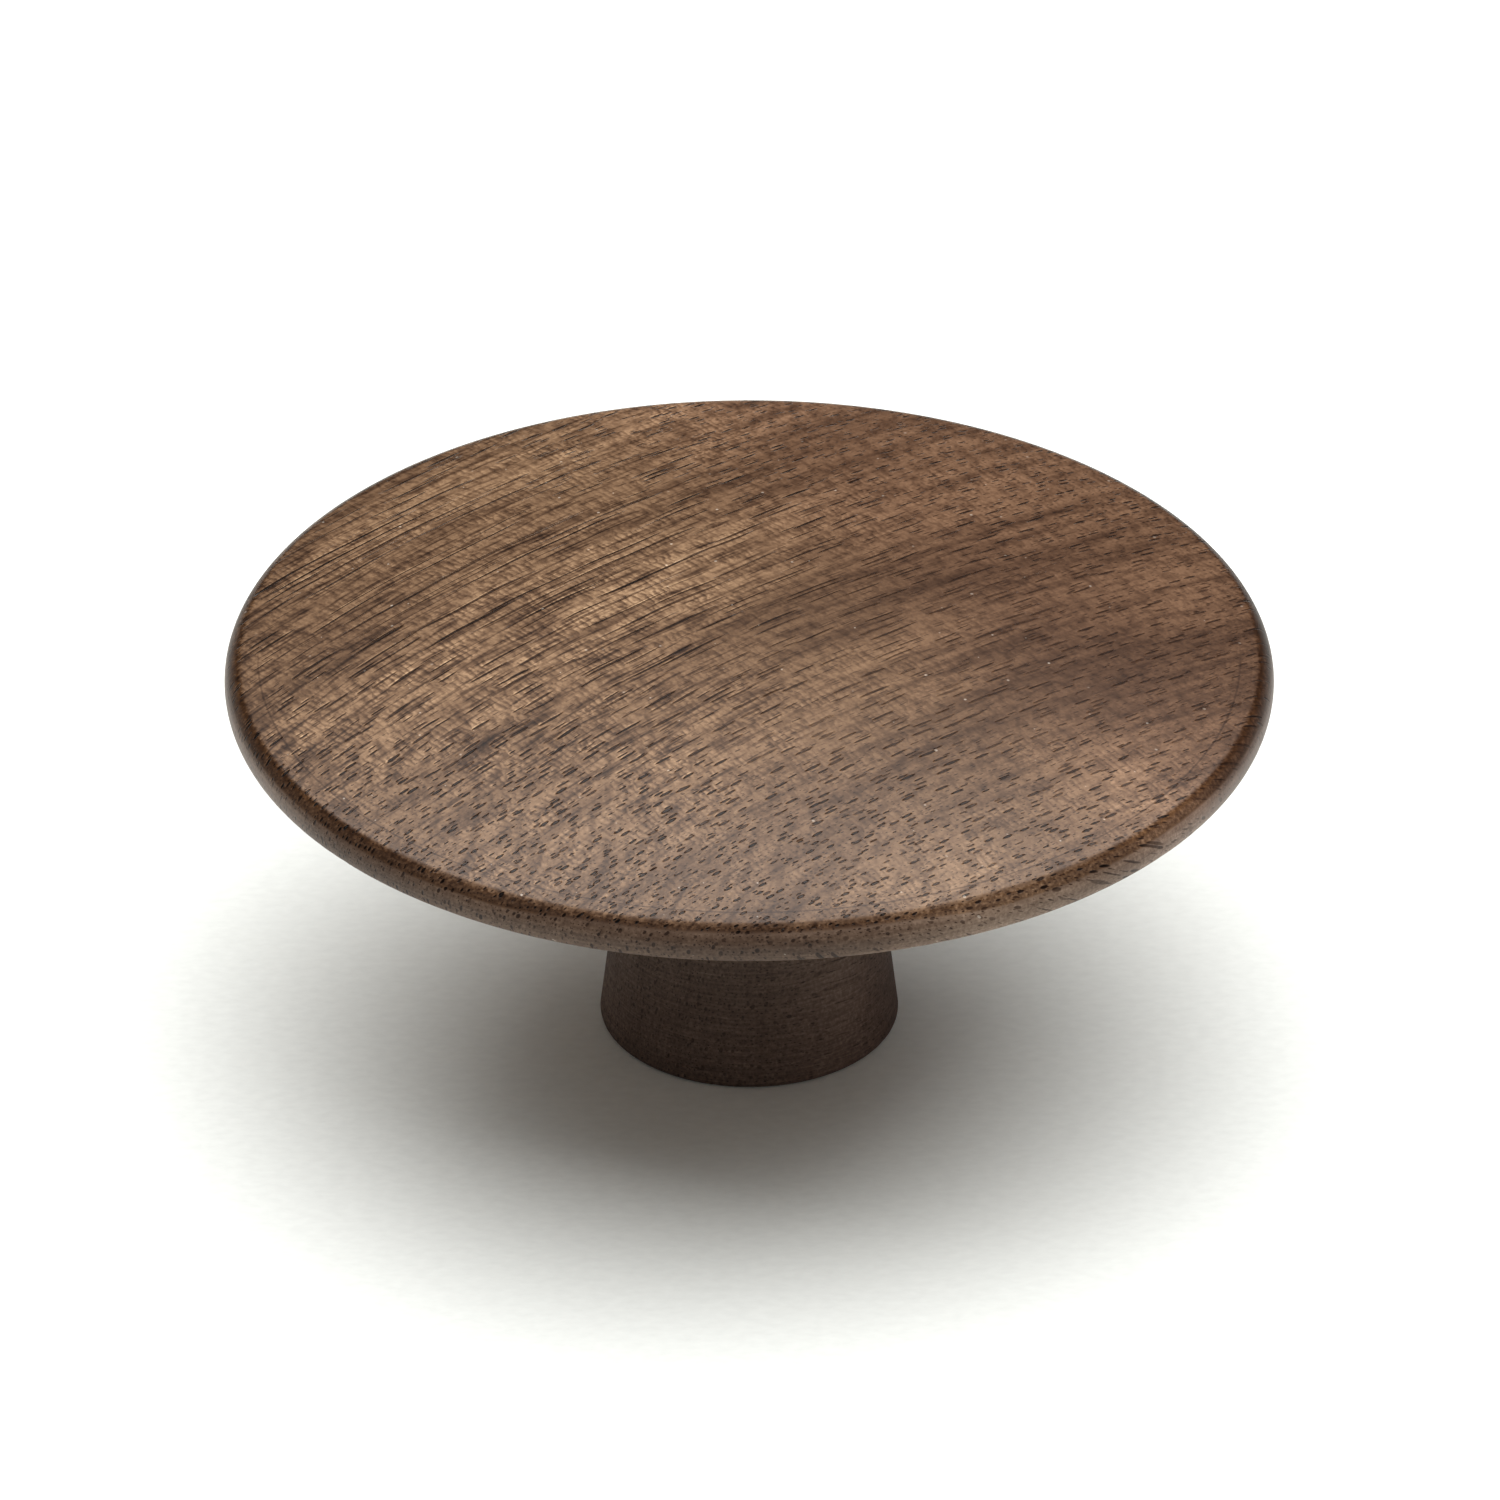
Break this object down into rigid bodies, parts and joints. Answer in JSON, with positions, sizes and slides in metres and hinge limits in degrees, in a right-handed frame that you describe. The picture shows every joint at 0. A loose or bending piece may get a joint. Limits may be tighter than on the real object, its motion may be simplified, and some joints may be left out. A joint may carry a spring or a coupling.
{
  "type": "mushroom cabinet knob",
  "caption": "Turned walnut mushroom knob: wide thin crowned disc head on a short stem that flares to its foot, with a threaded brass insert for a screw from behind.",
  "frame": {"origin": "centre of the foot's face, on the knob's axis", "axes": "+Z along the knob's axis, from the foot to the crown; the wood's grain runs across the head, turned about 40 degrees from +X towards +Y; the picture is taken from -Y and above"},
  "size_m": [0.06, 0.06, 0.026],
  "materials": {
    "walnut": "satin clear lacquer on open-pored dark walnut",
    "brass": "turned and knurled, bare"
  },
  "bodies": {
    "root": {"knob_body": "walnut", "threaded_insert": "brass"}
  },
  "joints": []
}
